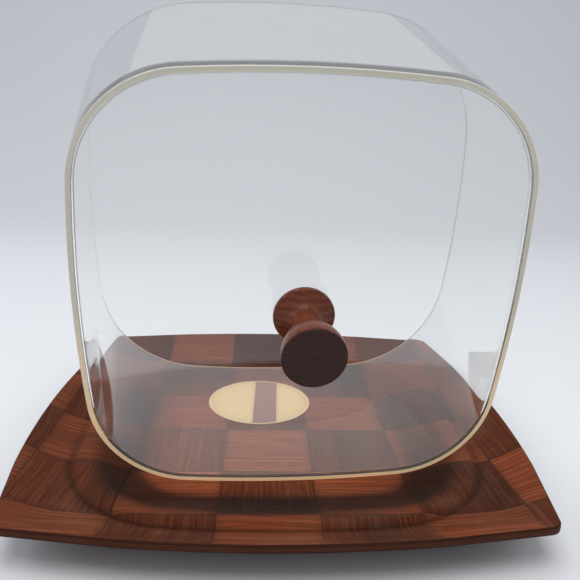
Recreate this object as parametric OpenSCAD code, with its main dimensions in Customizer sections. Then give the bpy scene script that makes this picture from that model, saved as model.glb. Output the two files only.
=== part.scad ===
// Cheese dome: woven-wood tray, clear acrylic dome and turned wood knob.
// Units: millimetres.  +Z up, +Y away from the viewer, origin under the middle
// of the tray.  The dome is drawn tipped onto its side wall, lying on the tray.

/* [Tray] */
// Width of the tray across the middle of opposite sides
tray_w = 330; // [280:1:380]
// Radius of the bowed sides of the tray
tray_side_r = 740; // [400:10:1500]
// Radius of the tray's corner tips
tray_tip_r = 8; // [2:1:30]
// Thickness of the woven face veneer
face_t = 1.2; // [0.6:0.1:2]
// Thickness of the core
core_t = 2.6; // [1:0.1:5]
// Thickness of the woven back veneer
back_t = 1.2; // [0.6:0.1:2]
// Half width of the flat floor
floor_half = 88; // [70:1:110]
// Half width of the well, to the crest of the bead round it
bead_half = 131; // [110:1:145]
// Radius of the bead's bowed sides
bead_side_r = 550; // [300:10:1500]
// Radius of the bead's corners
bead_corner_r = 73; // [30:1:100]
// Height of the bead above the floor
bead_h = 9.5; // [4:0.5:16]
// Depth of the groove outside the bead
groove_d = 2; // [0.5:0.1:4]
// Height of the tray's edge above the floor
edge_h = 20; // [6:0.5:28]

/* [Dome] */
// Half width of the crown across the middle of opposite sides
crown_half = 126.6; // [100:0.1:150]
// Radius of the crown's bowed sides
crown_side_r = 846; // [300:1:2000]
// Radius of the crown's corners
crown_corner_r = 62; // [20:1:90]
// How far the walls spread from crown to mouth, on each side
spread = 26.4; // [5:0.1:40]
// Height of the dome from crown to mouth
dome_h = 178; // [120:1:200]
// Wall thickness of the acrylic
wall_t = 3.1; // [2:0.1:5]
// Inside fillet between crown and walls
inner_fillet = 2; // [1:0.5:12]
// How much the lying dome's axis rises from crown to mouth, degrees
lie_rise = 9.85; // [0:0.05:20]
// Turn of the lying dome about the vertical, degrees
lie_turn = 3.3; // [-20:0.1:20]
// Sideways place of the crown's middle
lie_x = 10.8; // [-40:0.1:40]
// Fore and aft place of the crown's middle
lie_y = -94.3; // [-140:0.1:-60]

/* [Knob] */
// How far the knob sits from the crown's middle, towards the lying side
knob_drop = 5; // [0:0.5:10]
// Length of the knob
knob_len = 49.5; // [30:0.5:60]
// Diameter of the knob's foot
knob_foot_d = 34.8; // [24:0.1:45]
// Diameter of the knob's grip end
knob_top_d = 33.8; // [24:0.1:45]
// Diameter of the knob's waist
knob_waist_d = 16; // [10:0.1:28]
// Thickness of the clear collar under the knob
gasket_t = 3; // [1:0.1:5]
// Diameter of the screw
screw_d = 4.5; // [3:0.1:6]

/* [Label] */
// Diameter of the round paper label
label_d = 82; // [40:1:110]
// Thickness of the label
label_t = 0.15; // [0.1:0.05:0.5]
// Sideways place of the label
label_x = -12; // [-60:1:60]
// Fore and aft place of the label
label_y = 46; // [-60:1:60]

/* [Hidden] */
$fn = 96;
tray_t = face_t + core_t + back_t;
lean = atan(spread / dome_h);
tray_half = tray_w / 2;
lie_gap = 0.1;
lie_z = tray_t + lie_gap + crown_half * cos(lie_rise);

// A path of eight arcs: four wide side arcs and four corner arcs.  Each entry
// of path8 is [x, y, nx, ny]: a point and its outward normal.
function corner_c(w, rs, rc) = let (q = w - rs) (q + sqrt(2 * pow(rs - rc, 2) - q * q)) / 2;
function side_a(w, rs, rc) = let (q = w - rs, c = corner_c(w, rs, rc)) atan(c / (c - q));
function turn4(p, a) = [p[0] * cos(a) - p[1] * sin(a), p[0] * sin(a) + p[1] * cos(a), p[2] * cos(a) - p[3] * sin(a), p[2] * sin(a) + p[3] * cos(a)];
function warp(t) = sign(t) * pow(abs(t), 1.35);
function quarter8(w, rs, rc, ns, nc) = let (c = corner_c(w, rs, rc), a = side_a(w, rs, rc), h = 45 - a)
    concat([for (i = [0:ns - 1]) let (f = -a + 2 * a * i / ns) [w - rs + rs * cos(f), rs * sin(f), cos(f), sin(f)]],
           [for (i = [0:nc - 1]) let (f = 45 + h * warp(2 * i / nc - 1)) [c + rc * cos(f), c + rc * sin(f), cos(f), sin(f)]]);
function path8(w, rs, rc, ns, nc) = [for (k = [0:3]) for (p = quarter8(w, rs, rc, ns, nc)) turn4(p, 90 * k)];

// How far a ray [x, y, nx, ny] runs to the tray's bowed outline and its rounded tips.
function ray_circle(p, cx, cy, r) = let (dx = p[0] - cx, dy = p[1] - cy, b = dx * p[2] + dy * p[3]) -b + sqrt(b * b - (dx * dx + dy * dy - r * r));
function ray_line(p, ux, uy, d) = let (g = p[2] * ux + p[3] * uy) g < 0.2 ? 1e6 : (d - p[0] * ux - p[1] * uy) / g;
tray_tip_c = corner_c(tray_half, tray_side_r, tray_tip_r);
function to_edge(p) = let (q = tray_half - tray_side_r, c = tray_tip_c)
    min(concat([for (k = [0:3]) ray_circle(p, q * cos(90 * k), q * sin(90 * k), tray_side_r)],
               [for (k = [0:3]) for (f = [9:9:81]) let (sx = cos(90 * k + 45) > 0 ? c : -c, sy = sin(90 * k + 45) > 0 ? c : -c, g = 90 * k + f)
                   ray_line(p, cos(g), sin(g), sx * cos(g) + sy * sin(g) + tray_tip_r)]));

// Height of the pressed tray above its floor, against the offset from the crest of the bead.
in0 = floor_half - bead_half;      // the flat floor ends here
gz = bead_h - groove_d;
function ease(t) = (1 - cos(180 * t)) / 2;
slope_pts = [for (i = [0:6]) let (t = i / 6) [in0 * (1 - t), bead_h * ease(t)]];
groove_pts = [[2.4, bead_h - 0.7], [4.6, gz], [8, gz + 0.9]];
edge_pts = [[0.3, gz + 3.4], [0.65, edge_h - 4.6], [0.88, edge_h - 1.1], [1, edge_h]];
bead_path = path8(bead_half, bead_side_r, bead_corner_r, 6, 12);
n_path = len(bead_path);
bead_reach = [for (p = bead_path) to_edge(p)];
g0 = groove_pts[len(groove_pts) - 1][0];
function ply_ring(o, z) = [for (p = bead_path) [p[0] + p[2] * o, p[1] + p[3] * o, z]];
function ply_edge(t, z) = [for (i = [0:n_path - 1]) let (p = bead_path[i], o = g0 + (bead_reach[i] - g0) * t) [p[0] + p[2] * o, p[1] + p[3] * o, z]];
function ply_rings(z0) = concat([for (q = slope_pts) ply_ring(q[0], q[1] + z0)], [for (q = groove_pts) ply_ring(q[0], q[1] + z0)], [for (q = edge_pts) ply_edge(q[0], q[1] + z0)]);
function flat(v) = [for (r = v) for (p = r) p];
// The same quads seen from the other side, cut along the same diagonals.
function strip_back(a, b, n) = [for (i = [0:n - 1]) let (j = (i + 1) % n) each [[a + i, b + i, b + j], [a + i, b + j, a + j]]];
function strip(a, b, n) = [for (i = [0:n - 1]) let (j = (i + 1) % n) each [[a + i, b + j, b + i], [a + i, a + j, b + j]]];

module ply(z0, z1) {
    up = ply_rings(z1);
    dn = ply_rings(z0);
    m = len(up);
    n = n_path;
    polyhedron(
        points = concat(flat(up), flat(dn)),
        faces = concat(
            [[for (i = [n - 1:-1:0]) i]],
            [for (k = [0:m - 2]) for (f = strip(k * n, (k + 1) * n, n)) f],
            strip((m - 1) * n, (2 * m - 1) * n, n),
            [for (k = [0:m - 2]) for (f = strip_back((m + k) * n, (m + k + 1) * n, n)) f],
            [[for (i = [0:n - 1]) m * n + i]]),
        convexity = 10);
}

module tray_face_ply() { color([0.48, 0.27, 0.17]) ply(back_t + core_t, tray_t); }
module tray_core_ply() { color([0.62, 0.45, 0.3]) ply(back_t, back_t + core_t); }
module tray_back_ply() { color([0.42, 0.24, 0.16]) ply(0, back_t); }

// Dome in its own frame: crown at z = 0 facing -Z, mouth at z = dome_h.
wx = wall_t / cos(lean);
function wall_x(z) = spread * z / dome_h;
fil = [for (i = [5:-1:0]) let (a = 90 * i / 5) [
    wall_x(wall_t + inner_fillet) - wx - inner_fillet * (1 - sin(a)), wall_t + inner_fillet * (1 - cos(a))]];
wall_pts = concat([[0, 0], [spread, dome_h], [spread - wx, dome_h]], fil);
crown_path = path8(crown_half, crown_side_r, crown_corner_r, 8, 14);

module lay_knob() { lay() translate([0, knob_drop, 0]) children(); }
module lay() { translate([lie_x, lie_y, lie_z]) rotate([0, 0, lie_turn]) rotate([-90 + lie_rise, 0, 0]) children(); }

module dome_body() {
    n = len(crown_path);
    m = len(wall_pts);
    difference() {
        polyhedron(
            points = [for (w = wall_pts) for (p = crown_path) [p[0] + p[2] * w[0], p[1] + p[3] * w[0], w[1]]],
            faces = concat(
                [[for (i = [0:n - 1]) i]],
                [for (k = [0:m - 2]) for (f = strip((k + 1) * n, k * n, n)) f],
                [[for (i = [n - 1:-1:0]) (m - 1) * n + i]]),
            convexity = 10);
        translate([0, knob_drop, -1]) cylinder(h = wall_t + 2, d = screw_d + 0.5);
    }
}
module dome_shell() { color([0.85, 0.9, 0.92, 0.4]) lay() dome_body(); }

run = 0.05; // running clearance of the knob on its screw
module knob_gasket() {
    color([0.9, 0.9, 0.86]) lay_knob() difference() {
        translate([0, 0, -gasket_t]) cylinder(h = gasket_t, d = 20);
        translate([0, 0, -gasket_t - 1]) cylinder(h = gasket_t + 2, d = screw_d + 0.5);
    }
}
wash_t = 1;
module screw_washer() {
    color([0.75, 0.76, 0.78]) lay_knob() difference() {
        translate([0, 0, wall_t]) cylinder(h = wash_t, d = 15);
        translate([0, 0, wall_t - 1]) cylinder(h = wash_t + 2, d = screw_d + 0.5);
    }
}
screw_in = 26;
module knob_screw() {
    color([0.7, 0.68, 0.6]) lay_knob() difference() {
        union() {
            translate([0, 0, wall_t + wash_t]) cylinder(h = 2.6, d1 = 9.4, d2 = 7.6);
            translate([0, 0, -gasket_t - screw_in]) cylinder(h = wall_t + wash_t + gasket_t + screw_in + 0.5, d = screw_d);
            translate([0, 0, -gasket_t - screw_in - 2.5]) cylinder(h = 2.5, d1 = 1, d2 = screw_d);
        }
        translate([-0.6, -6, wall_t + wash_t + 1.5]) cube([1.2, 12, 3]);
    }
}

// Turned knob: [distance from the foot, radius]
fr = knob_foot_d / 2;
tr = knob_top_d / 2;
wr = knob_waist_d / 2;
foot_e = [for (i = [0:4]) let (a = 22.5 * i) [1.6 - 1.6 * cos(a), fr - 1.2 + 1.2 * sin(a)]];
foot_f = [for (i = [0:4]) let (a = 22.5 * i) [3.0 + 1.2 * sin(a), fr - 1.2 + 1.2 * cos(a)]];
neck = [for (i = [1:8]) let (t = i / 8) [4.2 + 9.3 * t, wr + (fr - 1.2 - wr) * pow(1 - t, 2.6)]];
flare = [for (i = [1:12]) let (t = i / 12) [13.5 + (knob_len - 17) * t, wr + (tr - wr) * pow(ease(t * 0.98), 0.92)]];
lip = [for (i = [0:4]) let (a = 22.5 * i) [knob_len - 1.8 + 1.8 * sin(a), tr - 1.6 + 1.6 * cos(a)]];
knob_pts = concat(foot_e, foot_f, neck, flare, lip);
module knob() {
    color([0.4, 0.2, 0.12]) lay_knob() translate([0, 0, -gasket_t - run]) rotate([180, 0, 0]) difference() {
        rotate_extrude() polygon(concat([[0, 0]], [for (p = knob_pts) [p[1], p[0]]], [[0, knob_len]]));
        translate([0, 0, -1]) cylinder(h = screw_in + 5, d = screw_d + 2 * run);
    }
}

module paper_label() {
    color([0.85, 0.8, 0.68]) translate([label_x, label_y, tray_t]) cylinder(h = label_t, d = label_d);
}

tray_face_ply();
tray_core_ply();
tray_back_ply();
paper_label();
dome_shell();
knob_gasket();
screw_washer();
knob_screw();
knob();
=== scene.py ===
import bpy
import math
from mathutils import Matrix, Vector


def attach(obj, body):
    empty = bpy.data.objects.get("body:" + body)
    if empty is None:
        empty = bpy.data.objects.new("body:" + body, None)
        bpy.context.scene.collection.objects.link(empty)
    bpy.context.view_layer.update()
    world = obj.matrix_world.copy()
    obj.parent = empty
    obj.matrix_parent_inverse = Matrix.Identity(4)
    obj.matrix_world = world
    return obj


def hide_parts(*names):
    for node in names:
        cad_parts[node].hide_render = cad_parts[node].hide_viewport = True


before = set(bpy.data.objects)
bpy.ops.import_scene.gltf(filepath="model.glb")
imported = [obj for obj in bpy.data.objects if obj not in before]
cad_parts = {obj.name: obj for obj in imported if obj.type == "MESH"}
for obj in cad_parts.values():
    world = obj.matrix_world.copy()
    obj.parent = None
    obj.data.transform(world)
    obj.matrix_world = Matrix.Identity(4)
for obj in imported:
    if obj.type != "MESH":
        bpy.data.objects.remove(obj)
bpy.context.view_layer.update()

# ---------------------------------------------------------------- sizes (metres)
MM = 0.001
TRAY_HALF, TRAY_SIDE_R, TRAY_TIP_R = 165.0, 740.0, 8.0
T_BACK, T_CORE, T_FACE = 1.2, 2.6, 1.2
T_ALL = T_BACK + T_CORE + T_FACE
FLOOR_HALF, BEAD_H, GROOVE_D, EDGE_H = 88.0, 9.5, 2.0, 20.0
BEAD = (131.0, 550.0, 73.0)  # half width, side radius and corner radius of the bead's crest
CROWN_HALF, CROWN_SIDE_R, CROWN_CORNER_R = 126.6, 846.0, 62.0
SPREAD, DOME_H, WALL = 26.4, 178.0, 3.1
KNOB_DROP = 5.0  # the knob sits this far from the crown's middle
LEAN = math.atan(SPREAD / DOME_H)
RISE = math.radians(9.85)
LAY = (
    Matrix.Translation(Vector((10.8, -94.3, T_ALL + 0.1 + CROWN_HALF * math.cos(RISE))))
    @ Matrix.Rotation(math.radians(3.3), 4, "Z")
    @ Matrix.Rotation(-math.pi / 2 + RISE, 4, "X")
)


def corner_c(w, rs, rc):
    q = w - rs
    return (q + math.sqrt(2 * (rs - rc) ** 2 - q * q)) / 2


def path8(w, rs, rc, ns, nc):
    """Points and outward normals round an outline of four side arcs and four corner arcs."""
    q = w - rs
    c = corner_c(w, rs, rc)
    a = math.atan2(c, c - q)
    h = math.pi / 4 - a
    out = []
    for k in range(4):
        ck, sk = math.cos(k * math.pi / 2), math.sin(k * math.pi / 2)
        pts = []
        for i in range(ns):
            f = -a + 2 * a * i / ns
            pts.append((q + rs * math.cos(f), rs * math.sin(f), math.cos(f), math.sin(f)))
        for i in range(nc):
            t = 2 * i / nc - 1
            f = math.pi / 4 + h * math.copysign(abs(t) ** 1.2, t)
            pts.append((c + rc * math.cos(f), c + rc * math.sin(f), math.cos(f), math.sin(f)))
        for x, y, nx, ny in pts:
            out.append((x * ck - y * sk, x * sk + y * ck, nx * ck - ny * sk, nx * sk + ny * ck))
    return out


def mesh_object(name, verts, faces, smooth=True, materials=(), face_mats=None):
    me = bpy.data.meshes.new(name)
    me.from_pydata([tuple(c * MM for c in v) for v in verts], [], faces)
    me.validate()
    me.update()
    ob = bpy.data.objects.new(name, me)
    bpy.context.scene.collection.objects.link(ob)
    for m in materials:
        me.materials.append(m)
    if face_mats:
        for p, m in zip(me.polygons, face_mats):
            p.material_index = m
    for p in me.polygons:
        p.use_smooth = smooth
    return ob


def sharpen(ob, angle=35.0):
    """Hard edges where faces meet at more than this angle."""
    import bmesh

    bm = bmesh.new()
    bm.from_mesh(ob.data)
    for e in bm.edges:
        if len(e.link_faces) == 2 and e.calc_face_angle(0) > math.radians(angle):
            e.smooth = False
    bm.to_mesh(ob.data)
    bm.free()


def rings_solid(rings, close_first=True, close_last=True, loop=False):
    """Faces for a stack of rings with equal counts, each ring given as a list of points."""
    n = len(rings[0])
    verts = [p for r in rings for p in r]
    faces = []
    m = len(rings)
    for k in range(m if loop else m - 1):
        a, b = k * n, ((k + 1) % m) * n
        for i in range(n):
            j = (i + 1) % n
            faces.append((a + i, a + j, b + j, b + i))
    if not loop and close_first:
        faces.append(tuple(range(n - 1, -1, -1)))
    if not loop and close_last:
        faces.append(tuple((m - 1) * n + i for i in range(n)))
    return verts, faces


# ---------------------------------------------------------------- materials
def new_mat(name):
    m = bpy.data.materials.new(name)
    m.use_nodes = True
    nt = m.node_tree
    nt.nodes.clear()
    out = nt.nodes.new("ShaderNodeOutputMaterial")
    b = nt.nodes.new("ShaderNodeBsdfPrincipled")
    nt.links.new(b.outputs[0], out.inputs[0])
    return m, nt, b


class Net:
    """Short helpers for wiring shader nodes."""

    def __init__(self, nt):
        self.nt = nt

    def node(self, kind, **kw):
        n = self.nt.nodes.new(kind)
        for k, v in kw.items():
            setattr(n, k, v)
        return n

    def put(self, socket, v):
        if isinstance(v, (int, float)):
            socket.default_value = v
        elif isinstance(v, (tuple, list)):
            socket.default_value = v
        else:
            self.nt.links.new(v, socket)

    def math(self, op, a, b=0.0, c=0.0, clamp=False):
        n = self.node("ShaderNodeMath", operation=op, use_clamp=clamp)
        self.put(n.inputs[0], a)
        self.put(n.inputs[1], b)
        if op in ("MULTIPLY_ADD", "WRAP", "SMOOTH_MIN", "COMPARE"):
            self.put(n.inputs[2], c)
        return n.outputs[0]

    def xyz(self, v):
        n = self.node("ShaderNodeSeparateXYZ")
        self.put(n.inputs[0], v)
        return n.outputs

    def vec(self, x, y, z):
        n = self.node("ShaderNodeCombineXYZ")
        for s, v in zip(n.inputs, (x, y, z)):
            self.put(s, v)
        return n.outputs[0]

    def noise(self, v, scale, detail=3.0, rough=0.5, dist=0.0, lac=2.0):
        n = self.node("ShaderNodeTexNoise")
        self.put(n.inputs["Vector"], v)
        n.inputs["Scale"].default_value = scale
        n.inputs["Detail"].default_value = detail
        n.inputs["Roughness"].default_value = rough
        n.inputs["Lacunarity"].default_value = lac
        n.inputs["Distortion"].default_value = dist
        return n.outputs["Fac"]

    def white(self, v):
        n = self.node("ShaderNodeTexWhiteNoise", noise_dimensions="3D")
        self.put(n.inputs["Vector"], v)
        return n.outputs["Value"]

    def ramp(self, fac, stops, interp="LINEAR"):
        n = self.node("ShaderNodeValToRGB")
        n.color_ramp.interpolation = interp
        el = n.color_ramp.elements
        while len(el) < len(stops):
            el.new(0.5)
        for e, (p, c) in zip(el, stops):
            e.position = p
            e.color = (*c, 1.0) if len(c) == 3 else c
        self.put(n.inputs[0], fac)
        return n.outputs[0]

    def remap(self, v, a, b, c, d, clamp=True):
        n = self.node("ShaderNodeMapRange", clamp=clamp)
        for s, x in zip(n.inputs, (v, a, b, c, d)):
            self.put(s, x)
        return n.outputs[0]

    def mix(self, fac, a, b, mode="MIX"):
        n = self.node("ShaderNodeMix", data_type="RGBA", blend_type=mode)
        n.clamp_result = False
        self.put(n.inputs[0], fac)
        self.put(n.inputs[6], (*a, 1.0) if isinstance(a, tuple) and len(a) == 3 else a)
        self.put(n.inputs[7], (*b, 1.0) if isinstance(b, tuple) and len(b) == 3 else b)
        return n.outputs[2]

    def mixf(self, fac, a, b):
        n = self.node("ShaderNodeMix", data_type="FLOAT")
        self.put(n.inputs[0], fac)
        self.put(n.inputs[2], a)
        self.put(n.inputs[3], b)
        return n.outputs[0]

    def bump(self, height, strength, distance, normal=None):
        n = self.node("ShaderNodeBump")
        n.inputs["Strength"].default_value = strength
        n.inputs["Distance"].default_value = distance
        self.put(n.inputs["Height"], height)
        if normal is not None:
            self.put(n.inputs["Normal"], normal)
        return n.outputs[0]


CELL = 0.059
CELL_X0, CELL_Y0 = -0.036, -0.004


def woven_wood(name, tone=1.0, shift=0.0):
    """Lacquered basket weave of wood veneer strips: squares whose grain turns from one to the next."""
    m, nt, b = new_mat(name)
    g = Net(nt)
    tc = g.node("ShaderNodeTexCoord")
    x, y, z = g.xyz(tc.outputs["Object"])
    u = g.math("DIVIDE", g.math("SUBTRACT", x, CELL_X0 + shift), CELL)
    v = g.math("DIVIDE", g.math("SUBTRACT", y, CELL_Y0 + shift), CELL)
    iu, iv = g.math("FLOOR", u), g.math("FLOOR", v)
    fu, fv = g.math("SUBTRACT", u, iu), g.math("SUBTRACT", v, iv)
    par = g.math("ABSOLUTE", g.math("MODULO", g.math("ADD", iu, iv), 2.0))  # 1 where the grain runs along X
    # coordinates along (s) and across (t) the grain
    s = g.mixf(par, y, x)
    t = g.mixf(par, x, y)
    ft = g.mixf(par, fu, fv)
    fs = g.mixf(par, fv, fu)
    # a strip keeps its wood over the whole tray: one id per row or column
    strip = g.mixf(par, g.math("ADD", iu, 37.0), g.math("ADD", iv, 91.0))
    sid = g.vec(strip, g.math("MULTIPLY", par, 13.0), 5.0)
    r_strip = g.white(sid)
    cid = g.vec(iu, iv, 3.0)
    r_cell = g.white(cid)
    # each strip is made of two or three slips of veneer side by side
    cut1 = g.math("ADD", 0.30, g.math("MULTIPLY", r_strip, 0.12))
    cut2 = g.math("ADD", 0.62, g.math("MULTIPLY", r_cell, 0.12))
    slip = g.math("ADD", g.math("GREATER_THAN", ft, cut1), g.math("GREATER_THAN", ft, cut2))
    r_slip = g.white(g.vec(g.math("ADD", strip, g.math("MULTIPLY", slip, 7.0)), par, g.math("ADD", iu, g.math("MULTIPLY", iv, 11.0))))
    # grain coordinates: long along s, fine across t, moved per square
    off = g.math("MULTIPLY", r_slip, 3.7)
    warp = g.noise(g.vec(g.math("MULTIPLY", s, 9.0), g.math("MULTIPLY", t, 14.0), off), 1.0, 2.0, 0.5)
    tw = g.math("ADD", t, g.math("MULTIPLY", g.math("SUBTRACT", warp, 0.5), 0.010))
    fine = g.noise(g.vec(g.math("MULTIPLY", s, 26.0), g.math("MULTIPLY", tw, 2100.0), off), 1.0, 3.0, 0.6)
    mid = g.noise(g.vec(g.math("MULTIPLY", s, 7.0), g.math("MULTIPLY", tw, 760.0), off), 1.0, 4.0, 0.6, 0.3)
    broad = g.noise(g.vec(g.math("MULTIPLY", s, 5.0), g.math("MULTIPLY", tw, 70.0), off), 1.0, 2.0, 0.5)
    rings = g.math("SINE", g.math("MULTIPLY", g.math("ADD", g.math("MULTIPLY", tw, 1000.0), g.math("MULTIPLY", broad, 22.0)), 1.55))
    rings = g.math("MULTIPLY_ADD", rings, 0.5, 0.5)
    grain = g.math("ADD", g.math("MULTIPLY", fine, 0.48), g.math("MULTIPLY", mid, 0.52))
    grain = g.math("ADD", grain, g.math("MULTIPLY", g.math("SUBTRACT", rings, 0.5), 0.10))
    col = g.ramp(
        grain,
        [
            (0.08, (0.016, 0.0032, 0.0012)),
            (0.35, (0.062, 0.0140, 0.0050)),
            (0.54, (0.132, 0.0340, 0.0125)),
            (0.75, (0.225, 0.0700, 0.0300)),
            (0.98, (0.350, 0.1250, 0.0560)),
        ],
    )
    # tone of the strip, square and slip; strips seen along the grain are lighter
    lift = g.math("ADD", g.math("MULTIPLY", par, 0.56), g.math("MULTIPLY", r_cell, 0.22))
    lift = g.math("ADD", lift, g.math("MULTIPLY", r_slip, 0.24))
    lift = g.math("ADD", lift, g.math("MULTIPLY", r_strip, 0.18))
    bright = g.remap(lift, 0.05, 1.12, 0.30 * tone, 1.42 * tone)
    # painted light: the flat of the well is lighter, brightened up to 1.75 times towards its middle
    x4 = g.math("POWER", g.math("ABSOLUTE", x), 4.0)
    y4 = g.math("POWER", g.math("ABSOLUTE", y), 4.0)
    painted_light_well = g.remap(g.math("POWER", g.math("ADD", x4, y4), 0.25), 0.070, 0.096, 1.75, 1.0)
    bright = g.math("MULTIPLY", bright, painted_light_well)
    bc = g.node("ShaderNodeCombineColor")
    for sck in bc.inputs:
        g.put(sck, bright)
    col = g.mix(1.0, col, bc.outputs[0], "MULTIPLY")
    hue = g.mix(g.math("MULTIPLY", r_slip, 0.45), (1.0, 1.0, 1.0), (1.10, 0.92, 0.80))
    col = g.mix(1.0, col, hue, "MULTIPLY")
    # pores: short dark dashes along the grain
    pores = g.noise(g.vec(g.math("MULTIPLY", s, 160.0), g.math("MULTIPLY", tw, 3800.0), off), 1.0, 1.0, 0.4)
    pore = g.remap(pores, 0.60, 0.74, 0.0, 1.0)
    col = g.mix(g.math("MULTIPLY", pore, 0.55), col, (0.018, 0.006, 0.004))
    # seams between the squares and hairlines between slips
    def seam(f, w):
        d = g.math("MINIMUM", f, g.math("SUBTRACT", 1.0, f))
        return g.remap(d, 0.0, w, 1.0, 0.0)

    wob = g.math("MULTIPLY", g.math("SUBTRACT", g.noise(g.vec(x, y, 0.0), 60.0, 2.0), 0.5), 0.010)
    sq = g.math("MAXIMUM", seam(g.math("ADD", fu, wob), 0.012), seam(g.math("ADD", fv, wob), 0.012))
    hair = g.math(
        "MAXIMUM",
        g.remap(g.math("ABSOLUTE", g.math("SUBTRACT", ft, cut1)), 0.0, 0.006, 1.0, 0.0),
        g.remap(g.math("ABSOLUTE", g.math("SUBTRACT", ft, cut2)), 0.0, 0.006, 1.0, 0.0),
    )
    lines = g.math("MAXIMUM", g.math("MULTIPLY", sq, 0.85), g.math("MULTIPLY", hair, 0.45))
    col = g.mix(g.math("MULTIPLY", lines, 0.8), col, (0.012, 0.005, 0.003))
    # each square dips a little where its strip goes under
    under = g.remap(g.math("MINIMUM", fs, g.math("SUBTRACT", 1.0, fs)), 0.0, 0.09, 0.0, 1.0)
    col = g.mix(g.remap(under, 0.0, 1.0, 0.28, 0.0), col, (0.02, 0.007, 0.004))
    # handling marks: slightly duller, lighter patches
    wear = g.noise(g.vec(x, y, z), 22.0, 4.0, 0.6)
    col = g.mix(g.remap(wear, 0.52, 0.75, 0.0, 0.10), col, (0.34, 0.22, 0.15))
    # painted shade: the well's slopes and the groove outside the bead are darkened towards near black, standing in for
    # the shade that falls there
    recess_shade = g.node("ShaderNodeAttribute", attribute_name="painted_recess_shade").outputs["Fac"]
    col = g.mix(g.math("MULTIPLY", recess_shade, 0.86), col, (0.004, 0.0012, 0.0007))
    g.put(b.inputs["Base Color"], col)
    rough = g.remap(grain, 0.3, 0.8, 0.46, 0.36)
    rough = g.math("ADD", rough, g.remap(wear, 0.45, 0.75, 0.0, 0.12))
    rough = g.math("ADD", rough, g.math("MULTIPLY", pore, 0.12))
    g.put(b.inputs["Roughness"], rough)
    h = g.math("SUBTRACT", g.math("MULTIPLY", grain, 0.35), g.math("MULTIPLY", pore, 0.35))
    h = g.math("SUBTRACT", h, g.math("MULTIPLY", lines, 1.2))
    h = g.math("ADD", h, g.math("MULTIPLY", under, 0.5))
    g.put(b.inputs["Normal"], g.bump(h, 0.35, 0.00022))
    b.inputs["IOR"].default_value = 1.5
    b.inputs["Specular IOR Level"].default_value = 0.06
    return m


def ply_edge_wood(name, light, dark):
    """Long-grain veneer seen on the tray's cut edge."""
    m, nt, b = new_mat(name)
    g = Net(nt)
    tc = g.node("ShaderNodeTexCoord")
    x, y, z = g.xyz(tc.outputs["Object"])
    n1 = g.noise(g.vec(g.math("MULTIPLY", x, 30.0), g.math("MULTIPLY", y, 30.0), g.math("MULTIPLY", z, 2200.0)), 1.0, 3.0, 0.6)
    n2 = g.noise(g.vec(x, y, z), 90.0, 3.0, 0.6)
    f = g.math("ADD", g.math("MULTIPLY", n1, 0.7), g.math("MULTIPLY", n2, 0.3))
    g.put(b.inputs["Base Color"], g.ramp(f, [(0.3, dark), (0.7, light)]))
    g.put(b.inputs["Roughness"], g.remap(f, 0.3, 0.7, 0.6, 0.45))
    b.inputs["Specular IOR Level"].default_value = 0.08
    g.put(b.inputs["Normal"], g.bump(f, 0.3, 0.0002))
    return m


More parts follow.
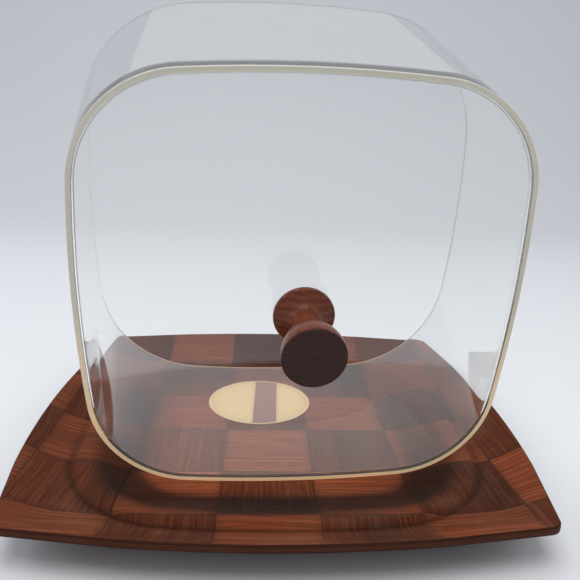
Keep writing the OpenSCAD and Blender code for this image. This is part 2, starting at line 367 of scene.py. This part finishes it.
def turned_wood(name):
    """Dark lacquered wood, turned: long grain along the knob, end grain on its face."""
    m, nt, b = new_mat(name)
    g = Net(nt)
    at = g.node("ShaderNodeAttribute", attribute_name="local")
    x, y, z = g.xyz(at.outputs["Vector"])  # millimetres in the knob's own frame, z along it
    warp = g.noise(g.vec(g.math("MULTIPLY", x, 0.04), g.math("MULTIPLY", y, 0.04), g.math("MULTIPLY", z, 0.012)), 1.0, 2.0)
    d = g.math("ADD", g.math("MULTIPLY", y, 0.9), g.math("MULTIPLY", warp, 9.0))
    ring = g.math("MULTIPLY_ADD", g.math("SINE", g.math("MULTIPLY", d, 1.7)), 0.5, 0.5)
    fine = g.noise(g.vec(g.math("MULTIPLY", x, 2.6), g.math("MULTIPLY", y, 2.6), g.math("MULTIPLY", z, 0.10)), 1.0, 4.0, 0.6)
    grain = g.math("ADD", g.math("MULTIPLY", ring, 0.08), g.math("MULTIPLY", fine, 0.92))
    col = g.ramp(
        grain,
        [(0.25, (0.022, 0.005, 0.0028)), (0.45, (0.092, 0.021, 0.0095)), (0.6, (0.190, 0.050, 0.022)), (0.8, (0.330, 0.098, 0.044))],
    )
    end = g.node("ShaderNodeAttribute", attribute_name="endgrain").outputs["Fac"]
    pores = g.noise(g.vec(g.math("MULTIPLY", x, 5.5), g.math("MULTIPLY", y, 3.0), 0.0), 1.0, 2.0, 0.6)
    ecol = g.ramp(grain, [(0.25, (0.010, 0.0030, 0.0024)), (0.5, (0.030, 0.0095, 0.0072)), (0.8, (0.062, 0.021, 0.015))])
    ecol = g.mix(g.remap(pores, 0.52, 0.68, 0.0, 0.6), ecol, (0.010, 0.0035, 0.003))
    r = g.math("POWER", g.math("ADD", g.math("MULTIPLY", x, x), g.math("MULTIPLY", y, y)), 0.5)
    tool = g.math("MULTIPLY_ADD", g.math("SINE", g.math("MULTIPLY", r, 8.0)), 0.5, 0.5)
    dot = g.remap(r, 0.5, 0.95, 1.0, 0.0)
    ecol = g.mix(g.math("MULTIPLY", dot, end), ecol, (0.004, 0.002, 0.002))
    col = g.mix(end, col, ecol)
    pore2 = g.noise(g.vec(g.math("MULTIPLY", x, 6.0), g.math("MULTIPLY", y, 6.0), g.math("MULTIPLY", z, 0.5)), 1.0, 1.0)
    col = g.mix(g.math("MULTIPLY", g.remap(pore2, 0.6, 0.72, 0.0, 0.5), g.math("SUBTRACT", 1.0, end)), col, (0.02, 0.006, 0.004))
    g.put(b.inputs["Base Color"], col)
    g.put(b.inputs["Roughness"], g.mixf(end, g.remap(fine, 0.3, 0.7, 0.34, 0.24), 0.42))
    h = g.math("ADD", g.math("MULTIPLY", grain, 0.5), g.math("MULTIPLY", g.math("MULTIPLY", tool, end), 0.25))
    h = g.math("SUBTRACT", h, g.math("MULTIPLY", g.math("MULTIPLY", dot, end), 3.0))
    g.put(b.inputs["Normal"], g.bump(h, 0.30, 0.00015))
    b.inputs["Specular IOR Level"].default_value = 0.16
    b.inputs["Coat Weight"].default_value = 0.10
    b.inputs["Coat Roughness"].default_value = 0.2
    return m


def acrylic(name, tint=(0.985, 0.99, 0.985), rough=0.0, clear=1.0):
    m, nt, b = new_mat(name)
    b.inputs["Base Color"].default_value = (*tint, 1.0)
    b.inputs["Transmission Weight"].default_value = clear
    b.inputs["Roughness"].default_value = rough
    b.inputs["IOR"].default_value = 1.49
    return m


def edge_acrylic(name):
    """The sawn and buffed edge of the sheet: cream, faintly see-through."""
    m, nt, b = new_mat(name)
    g = Net(nt)
    tc = g.node("ShaderNodeTexCoord")
    x, y, z = g.xyz(tc.outputs["Object"])
    n = g.noise(g.vec(x, y, z), 700.0, 3.0, 0.6)
    n2 = g.noise(g.vec(x, y, z), 28.0, 3.0, 0.6)
    # painted glow: the lower part of the edge band is tinted warm tan and emits warm light, standing in for light
    # carried up from the wood
    painted_glow_low = g.remap(z, 0.012, 0.13, 1.0, 0.0)
    c = g.mix(n2, (0.62, 0.585, 0.47), (0.68, 0.645, 0.52))
    c = g.mix(g.remap(n, 0.4, 0.7, 0.0, 0.18), c, (0.68, 0.65, 0.55))
    c = g.mix(painted_glow_low, c, (0.88, 0.68, 0.42))
    g.put(b.inputs["Emission Color"], g.mix(painted_glow_low, (0.0, 0.0, 0.0), (0.62, 0.42, 0.22)))
    b.inputs["Emission Strength"].default_value = 0.45
    b.inputs["Transmission Weight"].default_value = 0.25
    b.inputs["IOR"].default_value = 1.49
    g.put(b.inputs["Base Color"], c)
    g.put(b.inputs["Roughness"], g.remap(n, 0.3, 0.7, 0.34, 0.5))
    g.put(b.inputs["Normal"], g.bump(n, 0.15, 0.0001))
    return m


def paper(name):
    """Round paper label: aged cream, fine border rings and a plain mauve band, no words."""
    m, nt, b = new_mat(name)
    g = Net(nt)
    tc = g.node("ShaderNodeTexCoord")
    x, y, z = g.xyz(tc.outputs["Object"])
    px = g.math("MULTIPLY", g.math("SUBTRACT", x, -0.012), 1000.0)
    py = g.math("MULTIPLY", g.math("SUBTRACT", y, 0.046), 1000.0)
    r = g.math("POWER", g.math("ADD", g.math("MULTIPLY", px, px), g.math("MULTIPLY", py, py)), 0.5)
    fibre = g.noise(g.vec(x, y, z), 900.0, 4.0, 0.65)
    stain = g.noise(g.vec(x, y, z), 45.0, 4.0, 0.6)
    c = g.mix(fibre, (0.72, 0.515, 0.260), (0.84, 0.635, 0.350))
    c = g.mix(g.remap(stain, 0.45, 0.75, 0.0, 0.35), c, (0.60, 0.47, 0.27))
    q = g.math("ADD", px, g.math("MULTIPLY", py, -0.03))

    def line(v, at, half):
        return g.remap(g.math("ABSOLUTE", g.math("SUBTRACT", v, at)), half * 0.7, half, 1.0, 0.0)

    ring = g.math("MAXIMUM", line(r, 38.3, 0.45), line(r, 36.6, 0.25))
    band = g.remap(g.math("ABSOLUTE", g.math("SUBTRACT", q, 5.0)), 9.0, 9.3, 1.0, 0.0)
    band = g.math("MULTIPLY", band, g.math("LESS_THAN", r, 39.8))
    edge = g.math("MAXIMUM", line(q, -5.3, 0.3), line(q, 15.3, 0.3))
    c = g.mix(g.math("MULTIPLY", ring, 0.55), c, (0.28, 0.17, 0.12))
    c = g.mix(g.math("MULTIPLY", band, 0.86), c, (0.215, 0.085, 0.10))
    c = g.mix(g.math("MULTIPLY", edge, 0.6), c, (0.28, 0.14, 0.12))
    g.put(b.inputs["Base Color"], c)
    b.inputs["Roughness"].default_value = 0.62
    g.put(b.inputs["Normal"], g.bump(fibre, 0.15, 0.0001))
    return m


def plain(name, colour, rough, metal=0.0, coat=0.0):
    m, nt, b = new_mat(name)
    g = Net(nt)
    tc = g.node("ShaderNodeTexCoord")
    n = g.noise(tc.outputs["Object"], 350.0, 3.0, 0.6)
    dark = tuple(c * 0.82 for c in colour)
    g.put(b.inputs["Base Color"], g.mix(n, dark, colour))
    g.put(b.inputs["Roughness"], g.remap(n, 0.3, 0.7, rough * 0.8, rough * 1.15))
    b.inputs["Metallic"].default_value = metal
    b.inputs["Coat Weight"].default_value = coat
    return m


M_FACE = woven_wood("veneer_face")
M_BACK = woven_wood("veneer_back", tone=0.85, shift=0.0295)
M_CORE = ply_edge_wood("veneer_core", (0.085, 0.027, 0.012), (0.034, 0.010, 0.0045))
# painted shade: the edge veneer's colours are kept darker than the core's, standing in for the shade the tray's cut
# edge lies in
M_EDGE = ply_edge_wood("veneer_edge", (0.050, 0.014, 0.0060), (0.018, 0.0048, 0.0022))
M_KNOB = turned_wood("knob_wood")
M_CLEAR = acrylic("acrylic_clear", clear=0.99)
M_WALL = acrylic("acrylic_wall", clear=0.98)
M_RIM = edge_acrylic("acrylic_edge")
M_PAPER = paper("label_paper")
M_COLLAR = acrylic("collar_clear", (0.93, 0.90, 0.84), 0.12)
M_NYLON = plain("nylon", (0.72, 0.71, 0.66), 0.5)
M_BRASS = plain("screw_brass", (0.72, 0.52, 0.22), 0.3, metal=1.0)

# ---------------------------------------------------------------- tray
IN0 = FLOOR_HALF - BEAD[0]
GZ = BEAD_H - GROOVE_D


def ease(t):
    return (1 - math.cos(math.pi * t)) / 2


def smooth_lookup(pts, x):
    """Monotone cubic through the CAD's own section points."""
    if x <= pts[0][0]:
        return pts[0][1]
    if x >= pts[-1][0]:
        return pts[-1][1]
    n = len(pts)
    d = [(pts[i + 1][1] - pts[i][1]) / (pts[i + 1][0] - pts[i][0]) for i in range(n - 1)]
    for i in range(n - 1):
        if x <= pts[i + 1][0]:
            def slope(j):
                if j <= 0:
                    return 0.0 if pts[0][1] == pts[1][1] else d[0]
                if j >= n - 1:
                    return d[-1]
                return 0.0 if d[j - 1] * d[j] <= 0 else 2 * d[j - 1] * d[j] / (d[j - 1] + d[j])
            h = pts[i + 1][0] - pts[i][0]
            t = (x - pts[i][0]) / h
            a, b_ = slope(i), slope(i + 1)
            return (
                (2 * t ** 3 - 3 * t ** 2 + 1) * pts[i][1] + (t ** 3 - 2 * t ** 2 + t) * h * a
                + (-2 * t ** 3 + 3 * t ** 2) * pts[i + 1][1] + (t ** 3 - t ** 2) * h * b_
            )
    return pts[-1][1]


IN_PTS = [(IN0 * (1 - i / 6), BEAD_H * ease(i / 6)) for i in range(7)]
IN_PTS = [(IN0 - 4, 0.0)] + IN_PTS + [(2.4, BEAD_H - 0.7), (4.6, GZ), (8.0, GZ + 0.9)]
EDGE_PTS = [(0.0, GZ + 0.9), (0.3, GZ + 3.4), (0.65, EDGE_H - 4.6), (0.88, EDGE_H - 1.1), (1.0, EDGE_H)]


def reach(p):
    """How far the ray from a path point along its normal runs to the tray's outline."""
    x, y, nx, ny = p
    q = TRAY_HALF - TRAY_SIDE_R
    best = 1e9
    for k in range(4):
        cx, cy = q * math.cos(k * math.pi / 2), q * math.sin(k * math.pi / 2)
        dx, dy = x - cx, y - cy
        b_ = dx * nx + dy * ny
        best = min(best, -b_ + math.sqrt(b_ * b_ - (dx * dx + dy * dy - TRAY_SIDE_R ** 2)))
    c = corner_c(TRAY_HALF, TRAY_SIDE_R, TRAY_TIP_R)
    for k in range(4):
        sx = c if math.cos(k * math.pi / 2 + math.pi / 4) > 0 else -c
        sy = c if math.sin(k * math.pi / 2 + math.pi / 4) > 0 else -c
        for f in range(9, 82, 3):
            g_ = k * math.pi / 2 + math.radians(f)
            w = nx * math.cos(g_) + ny * math.sin(g_)
            if w > 0.2:
                lim = sx * math.cos(g_) + sy * math.sin(g_) + TRAY_TIP_R
                best = min(best, (lim - x * math.cos(g_) - y * math.sin(g_)) / w)
    return best


NS, NC = (40, 56)
TRAY_PATH = path8(*BEAD, NS, NC)
TRAY_REACH = [reach(p) for p in TRAY_PATH]
G0 = 8.0
O_IN = [IN0 - 3 + i * (G0 - IN0 + 3) / 50 for i in range(51)]


def tray_ring(o, z):
    return [(p[0] + p[2] * o, p[1] + p[3] * o, z) for p in TRAY_PATH]


def tray_edge_ring(t, z, pull=0.0):
    return [
        (p[0] + p[2] * (G0 + (r - G0) * t - pull), p[1] + p[3] * (G0 + (r - G0) * t - pull), z)
        for p, r in zip(TRAY_PATH, TRAY_REACH)
    ]


def surface_rings(z0, round_out=0.0, up=1):
    """Rings of the pressed surface from the floor out, with a rounded arris at the edge."""
    rings = []
    for s in (0.0, 0.35, 0.7):
        rings.append([(p[0] * s + 0.0, p[1] * s, z0) for p in tray_ring(O_IN[0], z0)] if s else None)
    rings = [r for r in rings if r]
    for o in O_IN:
        rings.append(tray_ring(o, smooth_lookup(IN_PTS, o) + z0))
    tmax = 1.0
    for i in range(1, 17):
        t = i / 16 * tmax
        pull = round_out if i == 16 else 0.0
        rings.append(tray_edge_ring(t, smooth_lookup(EDGE_PTS, t) + z0, pull))
    if round_out:
        for k in range(1, 5):
            a = k / 4 * math.pi / 2
            rings.append(tray_edge_ring(1.0, EDGE_H + z0 - up * round_out * (1 - math.cos(a)), round_out * (1 - math.sin(a))))
    return rings


def make_ply(name, z0, z1, mat, edge_mat, round_top=0.0, round_bot=0.0):
    top = surface_rings(z1, round_top, 1)
    bot = surface_rings(z0, round_bot, -1)
    rings = top + bot[::-1]
    verts, faces = rings_solid(rings)
    n = len(TRAY_PATH)
    # painted shade: per ring, how far the well's slopes and the groove outside the bead are darkened
    recess_shade = []
    for k in range(len(rings)):
        j = k - 2
        o = O_IN[j] if 0 <= j < len(O_IN) else (99.0 if j > 0 else -99.0)
        a = min(max((o - IN0 + 3) / 12, 0), 1) * min(max((-2.0 - o) / 16, 0), 1)
        groove = max(0.0, 1.0 - abs(o - 5.6) / 4.2) if abs(o) < 50 else 0.0
        recess_shade.append(max(ease(a), 0.62 * ease(groove)))
    side_lo = (len(top) - 1 - (4 if round_top else 0)) * n
    side_hi = (len(top) + (4 if round_bot else 0)) * n
    mats = []
    for f in faces:
        i = min(f) if len(f) == 4 else -1
        mats.append(1 if side_lo <= i < side_hi else 0)
    ob = mesh_object(name, verts, faces, True, (mat, edge_mat), mats)
    ob.data.attributes.new("painted_recess_shade", "FLOAT", "POINT")
    rec = ob.data.attributes["painted_recess_shade"].data
    for i in range(len(verts)):
        # the slope that faces the light stays lighter
        side = 0.3 + 0.7 * min(max((40.0 - verts[i][1]) / 140.0, 0.0), 1.0)
        rec[i].value = recess_shade[i // n] * side
    sharpen(ob, 40)
    return ob


face = make_ply("tray_face_veneer", T_BACK + T_CORE, T_ALL, M_FACE, M_EDGE, round_top=0.9)
core = make_ply("tray_core", T_BACK, T_BACK + T_CORE, M_CORE, M_CORE)
back = make_ply("tray_back_veneer", 0.0, T_BACK, M_BACK, M_EDGE, round_bot=0.9)
for ob, node in ((face, "tray_face_ply"), (core, "tray_core_ply"), (back, "tray_back_ply")):
    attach(ob, "tray")
    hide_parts(node)


def dress(node, mat):
    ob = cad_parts[node]
    ob.data.materials.clear()
    ob.data.materials.append(mat)
    for p in ob.data.polygons:
        p.material_index = 0
    return ob


dress("paper_label", M_PAPER)

# ---------------------------------------------------------------- dome
WX = WALL / math.cos(LEAN)
FIL = 2.0


def wall_x(z):
    return SPREAD * z / DOME_H


D_PATH = path8(CROWN_HALF, CROWN_SIDE_R, CROWN_CORNER_R, 36, 48)


def dome_ring(o, z):
    return [(p[0] + p[2] * o, p[1] + p[3] * o, z) for p in D_PATH]


E = 0.5  # small arris on the crown's outer edge
sec = []  # (offset, height, kind) from the bore outwards over the crown, down the wall, back up inside
for i in range(5):
    a = i / 4 * math.pi / 2
    sec.append((-E * (1 - math.sin(a)), E * (1 - math.cos(a))))
steps = 14
outer = [(wall_x(E + (DOME_H - E) * i / steps), E + (DOME_H - E) * i / steps) for i in range(1, steps + 1)]
inner = [(wall_x(z) - WX, z) for z in [DOME_H - (DOME_H - WALL - FIL) * i / steps for i in range(0, steps + 1)]]
fil = []
for i in range(9, -1, -1):
    a = math.radians(90 * i / 9)
    fil.append((wall_x(WALL + FIL) - WX - FIL * (1 - math.sin(a)), WALL + FIL * (1 - math.cos(a))))
BAND_W = WX - 0.2
rings, tags = [], []


def add(ring, tag):
    rings.append(ring)
    tags.append(tag)


BORE = 2.5
DOWN = Matrix.Translation(Vector((0.0, KNOB_DROP, 0.0)))
nD = len(D_PATH)


def bore_ring(z):
    out = []
    for p in D_PATH:
        a = math.atan2(p[1], p[0])
        out.append((BORE * math.cos(a), KNOB_DROP + BORE * math.sin(a), z))
    return out


def blend_ring(t, z, edge):
    b_ = bore_ring(z)
    return [(u[0] + (v[0] - u[0]) * t, u[1] + (v[1] - u[1]) * t, z) for u, v in zip(b_, edge)]


flat = dome_ring(-BAND_W, 0.0)
add(bore_ring(0.0), 0)
for t in (0.3, 0.6, 0.85):
    add(blend_ring(t, 0.0, flat), 0)
add(flat, 0)
for o, z in sec:
    add(dome_ring(o, z), 1)
for o, z in outer:
    add(dome_ring(o, z), 0)
for o, z in inner:
    add(dome_ring(o, z), 0)
for o, z in fil[1:]:
    add(dome_ring(o, z), 0)
last = dome_ring(*fil[-1])
for t in (0.85, 0.6, 0.3):
    add(blend_ring(t, WALL, last), 0)
add(bore_ring(WALL), 0)
verts, faces = rings_solid(rings, loop=True)
i_band0 = 4
i_band1 = 4 + len(sec)
i_cut = 4 + len(sec) + len(outer)
mats = []
for f in faces:
    k = min(f) // nD if max(f) - min(f) < 2 * nD else len(rings) - 1
    if i_band0 <= k < i_band1 or k == i_cut:
        mats.append(1)
    elif i_band1 <= k < i_cut + 1 + len(inner):
        mats.append(2)
    else:
        mats.append(0)
verts = [tuple(LAY @ Vector(v)) for v in verts]
dome = mesh_object("dome", verts, [f[::-1] for f in faces], True, (M_CLEAR, M_RIM, M_WALL), mats)
import bmesh

bm = bmesh.new()
bm.from_mesh(dome.data)
bmesh.ops.recalc_face_normals(bm, faces=bm.faces)
bm.to_mesh(dome.data)
bm.free()
sharpen(dome, 28)
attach(dome, "dome")
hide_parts("dome_shell")
dome.visible_shadow = False

for node, mat in (("knob_gasket", M_COLLAR), ("screw_washer", M_NYLON), ("knob_screw", M_BRASS)):
    dress(node, mat)

# ---------------------------------------------------------------- knob
KN_LEN, FOOT_D, TOP_D, WAIST_D, COLLAR_T, RUN = 49.5, 34.8, 33.8, 16.0, 3.0, 0.05
fr, tr, wr = FOOT_D / 2, TOP_D / 2, WAIST_D / 2
prof = [(0.0, 2.3 + RUN), (0.0, fr - 2.2)]
for i in range(0, 7):
    a = math.radians(90 * i / 6)
    prof.append((1.6 - 1.6 * math.cos(a), fr - 1.2 + 1.2 * math.sin(a)))
for i in range(0, 7):
    a = math.radians(90 * i / 6)
    prof.append((3.0 + 1.2 * math.sin(a), fr - 1.2 + 1.2 * math.cos(a)))
for i in range(1, 25):
    t = i / 24
    prof.append((4.2 + 9.3 * t, wr + (fr - 1.2 - wr) * (1 - t) ** 2.6))
for i in range(1, 37):
    t = i / 36
    prof.append((13.5 + (KN_LEN - 17) * t, wr + (tr - wr) * ease(t * 0.98) ** 0.92))
for i in range(0, 7):
    a = math.radians(90 * i / 6)
    prof.append((KN_LEN - 1.8 + 1.8 * math.sin(a), tr - 1.6 + 1.6 * math.cos(a)))
n_side = len(prof)
for r_ in (12.0, 8.0, 4.5, 2.0, 1.0, 0.45):
    prof.append((KN_LEN - (0.35 if r_ < 0.6 else 0.0), r_))
NK = 128
krings = [[(r_ * math.cos(2 * math.pi * j / NK), r_ * math.sin(2 * math.pi * j / NK), -COLLAR_T - RUN - l) for j in range(NK)] for l, r_ in prof]
# the blind hole for the screw
krings = [[(r_ * math.cos(2 * math.pi * j / NK), r_ * math.sin(2 * math.pi * j / NK), -COLLAR_T - RUN - l) for j in range(NK)] for l, r_ in ((30.0, 2.3 + RUN),)] + krings
verts, faces = rings_solid(krings)
loc = [tuple(v) for v in verts]
knob = mesh_object("knob_turned", [tuple(LAY @ DOWN @ Vector(v)) for v in verts], faces, True, (M_KNOB,))
bm = bmesh.new()
bm.from_mesh(knob.data)
bmesh.ops.recalc_face_normals(bm, faces=bm.faces)
bm.to_mesh(knob.data)
bm.free()
knob.data.attributes.new("local", "FLOAT_VECTOR", "POINT")
knob.data.attributes.new("endgrain", "FLOAT", "POINT")
at = knob.data.attributes["local"]
eg = knob.data.attributes["endgrain"]
for i, v in enumerate(loc):
    at.data[i].vector = v
    r_ = math.hypot(v[0], v[1])
    l = -v[2] - COLLAR_T
    eg.data[i].value = 1.0 if (l > KN_LEN - 1.0 or (l < 0.8 and r_ < fr - 0.8)) else 0.0
sharpen(knob, 50)
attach(knob, "knob")
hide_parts("knob")

# ---------------------------------------------------------------- stage, light, camera
bpy.ops.mesh.primitive_grid_add(x_subdivisions=2, y_subdivisions=60, size=1)
floor = bpy.context.object
floor.name = "floor"
me = floor.data
for v in me.vertices:
    t = v.co.y + 0.5
    # a sheet that runs back and curves up into a wall
    d = -1.6 + 4.2 * t
    lim, rad = 1.0, 0.9
    if d < lim:
        y_, z_ = d, 0.0
    else:
        a = min((d - lim) / rad, math.pi / 2)
        y_, z_ = lim + rad * math.sin(a), rad * (1 - math.cos(a))
        z_ += max(0.0, d - lim - rad * math.pi / 2)
    v.co = (v.co.x * 6.0, y_, z_)
for p in me.polygons:
    p.use_smooth = True
mf, ntf, bf = new_mat("paper_backdrop")
bf.inputs["Base Color"].default_value = (0.665, 0.68, 0.71, 1)
bf.inputs["Roughness"].default_value = 0.7
me.materials.clear()
me.materials.append(mf)

world = bpy.data.worlds.new("soft_world")
bpy.context.scene.world = world
world.use_nodes = True
bg = world.node_tree.nodes["Background"]
bg.inputs[0].default_value = (0.93, 0.96, 1.0, 1)
bg.inputs[1].default_value = 0.62


def area(name, loc_, target, size, power, colour=(1, 1, 1), size_y=None):
    d = bpy.data.lights.new(name, "AREA")
    d.energy = power
    d.color = colour
    d.shape = "RECTANGLE"
    d.size = size
    d.size_y = size_y or size
    o = bpy.data.objects.new(name, d)
    bpy.context.scene.collection.objects.link(o)
    o.location = loc_
    o.rotation_euler = (Vector(target) - Vector(loc_)).to_track_quat("-Z", "Y").to_euler()
    return o


for lamp in (
    area("top_soft", (0.0, 0.15, 1.35), (0, 0.05, 0.0), 1.3, 6.0, (1.0, 0.985, 0.96), 1.0),
    area("front_soft", (-0.12, -0.55, 1.4), (0, 0.0, 0.0), 1.0, 7.0, (1.0, 0.975, 0.94), 0.8),
):
    lamp.visible_glossy = lamp.name == "front_soft"
    lamp.visible_transmission = False
for lamp in (
    area("left_soft", (-1.3, 0.1, 0.9), (0, 0, 0.1), 0.8, 5.0, (0.96, 0.98, 1.0), 0.8),
    area("right_soft", (1.3, 0.0, 0.9), (0, 0, 0.1), 0.8, 2.8, (0.96, 0.98, 1.0), 0.8),
):
    lamp.visible_transmission = False

cam_d = bpy.data.cameras.new("camera")
cam = bpy.data.objects.new("camera", cam_d)
bpy.context.scene.collection.objects.link(cam)
PITCH, YAW, ROLL = math.radians(14.66), math.radians(3.06), math.radians(-1.81)
F = Vector((math.sin(YAW) * math.cos(PITCH), math.cos(YAW) * math.cos(PITCH), -math.sin(PITCH)))
R = Vector((math.cos(YAW), -math.sin(YAW), 0))
D = F.cross(R)
R2 = R * math.cos(ROLL) + D * math.sin(ROLL)
D2 = -R * math.sin(ROLL) + D * math.cos(ROLL)
rot = Matrix((R2, -D2, -F)).transposed()
K = 0.873
pos = Vector((-17.6 * K, -502.4 * K, 232.5 * K + T_ALL + EDGE_H)) * MM
cam.matrix_world = Matrix.Translation(pos) @ rot.to_4x4()
cam_d.sensor_width = 36.0
cam_d.lens = 637.5 / 580 * 36.0
cam_d.clip_start = 0.01
bpy.context.scene.camera = cam
bpy.context.scene.view_settings.view_transform = "Standard"
cyc = bpy.context.scene.cycles
cyc.max_bounces = 24
cyc.transmission_bounces = 20
cyc.glossy_bounces = 8
cyc.transparent_max_bounces = 16
cyc.caustics_reflective = False
